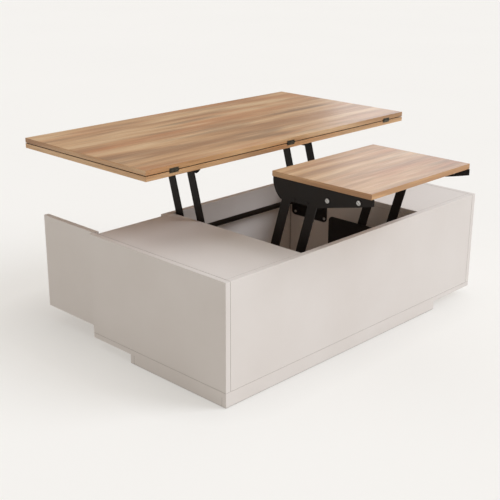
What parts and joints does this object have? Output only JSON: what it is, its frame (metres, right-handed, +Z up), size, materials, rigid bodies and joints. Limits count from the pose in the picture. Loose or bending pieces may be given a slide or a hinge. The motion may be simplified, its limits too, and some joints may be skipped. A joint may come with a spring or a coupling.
{
  "type": "lift top coffee table",
  "caption": "Low greige coffee table cabinet with a folded oak top lifted to the back, a small oak top lifted to the front and an open rear door.",
  "frame": {"origin": "On the floor, under the middle of the cabinet, at the face of the middle glide.", "axes": "+X to the right seen from the front, +Y to the back, +Z up. The small top rises towards -Y."},
  "size_m": [1.2, 1.0865, 0.6055],
  "materials": {
    "coated_board": "matte warm greige melamine on board",
    "oak_veneer": "satin light oak, grain along the length",
    "black_steel": "matte black powder coat",
    "zinc_steel": "zinc plated",
    "dull_steel": "dull dark nickel",
    "nylon": "moulded nylon",
    "clear_rubber": "soft rubber"
  },
  "bodies": {
    "cabinet": {"back_panel": "coated_board", "base_board": "coated_board", "base_pivot_pins": "zinc_steel", "base_plate_screws": "zinc_steel", "cabinet_floor": "coated_board", "floor_glides": "nylon", "front_panel": "coated_board", "large_base_plate_left": "black_steel", "large_base_plate_right": "black_steel", "left_block_top": "coated_board", "left_frame_hinge_leaves": "zinc_steel", "left_inner_wall": "coated_board", "left_side_panel": "coated_board", "plinth_cross_rail": "coated_board", "plinth_front_rail": "coated_board", "plinth_left_rail": "coated_board", "plinth_rear_rail": "coated_board", "plinth_right_rail": "coated_board", "right_block_top": "coated_board", "right_frame_hinge_leaves": "zinc_steel", "right_inner_wall": "coated_board", "right_side_panel": "coated_board", "small_base_plate_left": "black_steel", "small_base_plate_right": "black_steel"},
    "large_rear_links": {"large_rear_link_left": "black_steel", "large_rear_link_right": "black_steel", "large_torque_tube": "black_steel"},
    "large_front_links": {"large_front_link_left": "black_steel", "large_front_link_right": "black_steel"},
    "large_top": {"lower_leaf": "oak_veneer", "leaf_bumpers": "clear_rubber", "large_bracket_left": "black_steel", "large_bracket_right": "black_steel", "large_bracket_screws": "zinc_steel", "large_top_pins": "zinc_steel", "fold_hinges_lower": "dull_steel", "fold_hinge_pins": "dull_steel"},
    "folding_leaf": {"upper_leaf": "oak_veneer", "fold_hinges_upper": "dull_steel"},
    "small_front_links": {"small_front_link_left": "black_steel", "small_front_link_right": "black_steel", "small_torque_tube": "black_steel"},
    "small_rear_links": {"small_rear_link_left": "black_steel", "small_rear_link_right": "black_steel"},
    "small_top_tray": {"small_top": "oak_veneer", "small_bracket_left": "black_steel", "small_bracket_right": "black_steel", "small_bracket_angle_left": "black_steel", "small_bracket_angle_right": "black_steel", "small_top_fasteners": "zinc_steel", "small_bracket_rivets": "black_steel", "small_top_pins": "zinc_steel"},
    "left_door_body": {"left_door": "coated_board", "left_door_hinge_leaves": "zinc_steel"},
    "right_door_body": {"right_door": "coated_board", "right_door_hinge_leaves": "zinc_steel"}
  },
  "joints": [
    {"name": "large_lift", "type": "hinge", "parent": "cabinet", "child": "large_rear_links", "pos_m": [0, 0.235, 0.30321], "axis": [1, 0, 0], "range_deg": [0, 98]},
    {"name": "large_lift_front_links", "type": "hinge", "parent": "cabinet", "child": "large_front_links", "pos_m": [0, 0.131, 0.30321], "axis": [1, 0, 0], "range_deg": [0, 98]},
    {"name": "large_top_level", "type": "hinge", "parent": "large_rear_links", "child": "large_top", "pos_m": [0, 0.30391, 0.54352], "axis": [1, 0, 0], "range_deg": [-98, 0]},
    {"name": "small_lift", "type": "hinge", "parent": "cabinet", "child": "small_front_links", "pos_m": [0, -0.2, 0.28231], "axis": [1, 0, 0], "range_deg": [-98, 0]},
    {"name": "small_lift_rear_links", "type": "hinge", "parent": "cabinet", "child": "small_rear_links", "pos_m": [0, -0.096, 0.28231], "axis": [1, 0, 0], "range_deg": [-98, 0]},
    {"name": "small_top_level", "type": "hinge", "parent": "small_front_links", "child": "small_top_tray", "pos_m": [0, -0.26891, 0.52262], "axis": [1, 0, 0], "range_deg": [0, 98]},
    {"name": "leaf_fold", "type": "hinge", "parent": "large_top", "child": "folding_leaf", "pos_m": [0, 0.02623, 0.58952], "axis": [1, 0, 0], "range_deg": [0, 180]},
    {"name": "left_door_swing", "type": "hinge", "parent": "cabinet", "child": "left_door_body", "pos_m": [-0.581, 0.2932, 0.207], "axis": [0, 0, 1], "range_deg": [-90, 0]},
    {"name": "right_door_swing", "type": "hinge", "parent": "cabinet", "child": "right_door_body", "pos_m": [0.581, 0.2932, 0.207], "axis": [0, 0, 1], "range_deg": [-90, 0]}
  ],
  "couplings": [
    {"joint": "large_lift_front_links", "follows": "large_lift", "ratio": 1},
    {"joint": "large_top_level", "follows": "large_lift", "ratio": -1},
    {"joint": "small_lift", "follows": "large_lift", "ratio": -1},
    {"joint": "small_lift_rear_links", "follows": "large_lift", "ratio": -1},
    {"joint": "small_top_level", "follows": "large_lift", "ratio": 1}
  ]
}
